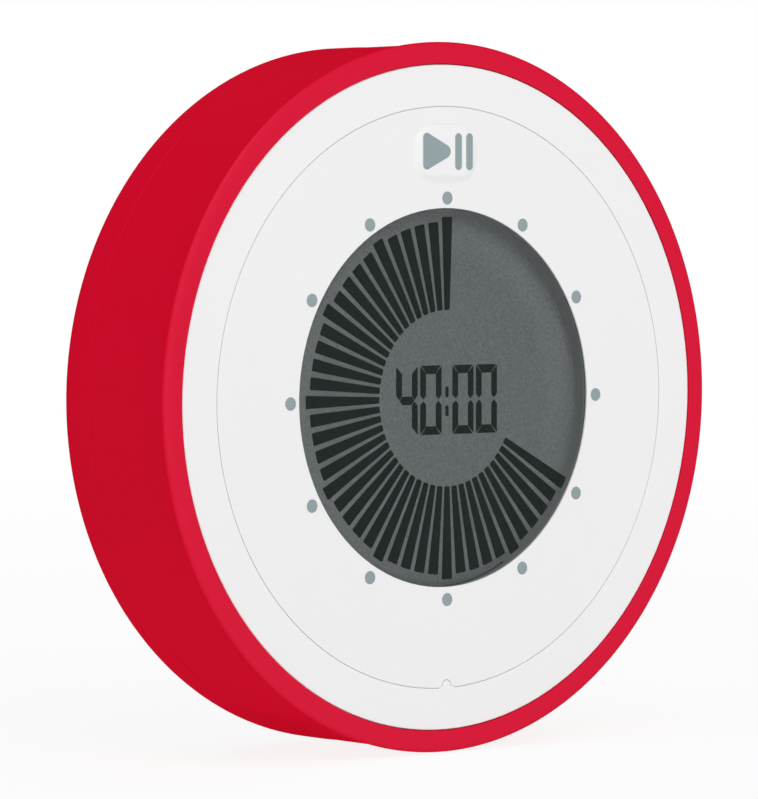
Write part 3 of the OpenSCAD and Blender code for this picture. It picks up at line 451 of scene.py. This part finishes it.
def key_shape():
    """A low soft mound on the face, with a flange behind the cover."""
    rings = [
        key_ring(FLANGE_Z, FLANGE_MORE),
        key_ring(FLANGE_Z + FLANGE_T, FLANGE_MORE),
        key_ring(FLANGE_Z + FLANGE_T, 0),
        key_ring(KEY_GROW_Z, KEY_GROW),
        key_ring(DEPTH - KEY_FOOT, KEY_GROW),
    ]
    for i in range(1, SHOULDER_STEPS + 1):
        t = i / SHOULDER_STEPS
        inset = KEY_SHOULDER * t
        lift = KEY_RISE * (0.5 - 0.5 * math.cos(math.pi * t)) - KEY_FOOT * (1 - t)
        rings.append(key_ring(DEPTH + lift, KEY_GROW - 2 * inset, KEY_CORNER - inset))
    return capped("start_key_cap", rings, KEY_SHARP)


piece(key_shape(), "start_key", "key_plastic", "start_button")


# ---------------------------------------------------------------- window lens

def lens_ring(z):
    turns = [math.radians(a) for a in range(0, 360, LENS_TURN)]
    return [at(LENS_R * math.cos(a), LENS_R * math.sin(a), z) for a in turns]


piece(capped("window_lens_sheet", [lens_ring(LENS_BACK_Z), lens_ring(LENS_FRONT_Z)]), "core", "clear_window",
      "window_lens")

# ---------------------------------------------------------------- floor and light

SHADOW_SHARE = 0.13
SHADOW_FROM = 0.1
SHADOW_TO = 0.6
FLOOR_GLOW = 0.55
FLOOR_SIZE = 40
FLOOR_GAP = 0.0001
WORLD_LIGHT = 0.51
# name, place in metres, size in metres, power in watts; each lamp is turned to the origin
LAMPS = (
    ("key", (-0.35, -1.1, 1.1), 0.9, 8.9),
    ("side", (-1.1, -0.1, 1.0), 0.6, 1.6),
    ("fill", (-0.1, -1.4, 0.0), 1.0, 2.6),
    ("back", (0.6, 1.2, 1.0), 1.0, 1.5),
)


def floor_material():
    """A pale floor that keeps the part's soft shadow and is plain white towards the horizon."""
    mat, tree, coords = new_material("studio_floor")
    keep = ramp_of(tree, length_of(tree, coords), SHADOW_FROM, SHADOW_TO, SHADOW_SHARE, 0.0)
    shown = math_of(tree, "MULTIPLY", seen_of(tree), math_of(tree, "SUBTRACT", 1.0, keep))
    matt = node_of(tree, "ShaderNodeBsdfDiffuse", {"Color": grey(0.95)})
    glow = node_of(tree, "ShaderNodeEmission", {"Color": grey(1), "Strength": 1.0})
    finish(tree, shader_mix_of(tree, math_of(tree, "MAXIMUM", FLOOR_GLOW, shown), matt.outputs[0], glow.outputs[0]))
    return mat


def studio_world():
    """An even light on the part, with plain white wherever the world itself is seen."""
    world = bpy.data.worlds.new("studio")
    world.use_nodes = True
    tree = world.node_tree
    tree.nodes.clear()
    light = node_of(tree, "ShaderNodeBackground", {"Color": grey(1), "Strength": WORLD_LIGHT})
    white = node_of(tree, "ShaderNodeBackground", {"Color": grey(1), "Strength": 1.0})
    finish(tree, shader_mix_of(tree, seen_of(tree), light.outputs[0], white.outputs[0]), "World")
    return world


def lamp(name, place, size, power):
    light = bpy.data.lights.new(name, "AREA")
    light.shape = "SQUARE"
    light.size = size
    light.energy = power
    ob = bpy.data.objects.new(name, light)
    ob.location = place
    ob.rotation_mode = "QUATERNION"
    ob.rotation_quaternion = (-Vector(place)).to_track_quat("-Z", "Y")
    bpy.context.scene.collection.objects.link(ob)


bpy.ops.mesh.primitive_plane_add(size=FLOOR_SIZE, location=(0, 0, -LIP_R * MM - FLOOR_GAP))
floor = bpy.context.object
floor.name = "studio_floor"
floor.data.materials.append(floor_material())

bpy.context.scene.world = studio_world()
for row in LAMPS:
    lamp(*row)

# ---------------------------------------------------------------- camera

# fitted to the photograph: angles in degrees, distance and offsets in millimetres, focal length in pixels
YAW = math.radians(39.848)
PITCH = math.radians(2.1226)
DISTANCE = 535.0
OFFSET_X = 7.872
OFFSET_Y = 0.203
FOCAL_PX = 4605.8
# the image is higher than wide, so the sensor's size goes with its height
IMAGE_H = 799
SENSOR = 36

right = Vector((math.cos(YAW), -math.sin(YAW), 0))
forward = Vector((math.sin(YAW) * math.cos(PITCH), math.cos(YAW) * math.cos(PITCH), -math.sin(PITCH)))
up = Vector((math.sin(YAW) * math.sin(PITCH), math.cos(YAW) * math.sin(PITCH), math.cos(PITCH)))
camera = bpy.data.cameras.new("camera")
camera.sensor_width = SENSOR
camera.lens = FOCAL_PX / IMAGE_H * SENSOR
camera.clip_start = 0.05
camera.clip_end = 60
eye = bpy.data.objects.new("camera", camera)
turn = Matrix((right, up, -forward)).transposed()
eye.matrix_world = Matrix.Translation(
    (right * -OFFSET_X + forward * -DISTANCE + up * -OFFSET_Y) * MM + Vector((0, -DEPTH * MM, 0))
) @ turn.to_4x4()
bpy.context.scene.collection.objects.link(eye)
bpy.context.scene.camera = eye
bpy.context.scene.view_settings.view_transform = "Standard"
